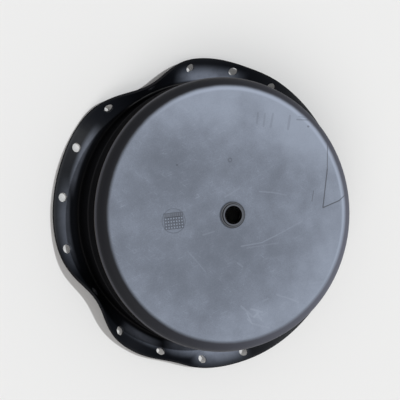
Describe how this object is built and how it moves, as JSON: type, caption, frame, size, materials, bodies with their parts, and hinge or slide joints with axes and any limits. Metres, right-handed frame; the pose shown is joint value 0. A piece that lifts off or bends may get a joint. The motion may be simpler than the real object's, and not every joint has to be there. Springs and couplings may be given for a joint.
{
  "type": "actuator diaphragm",
  "caption": "Deep moulded rubber diaphragm: flat round face with a beaded centre bore, side wall, and a thin waved bolting skirt with punched holes.",
  "frame": {"origin": "on the axis of the centre bore, at the floor that the dish lies on", "axes": "+Z out of the flat face along the bore axis; the skirt's free edge is at the low end"},
  "size_m": [0.3862, 0.3828, 0.09],
  "materials": {
    "moulded_rubber": "matte black rubber with a bluish grey bloom on the face"
  },
  "bodies": {
    "root": {"diaphragm": "moulded_rubber"}
  },
  "joints": []
}
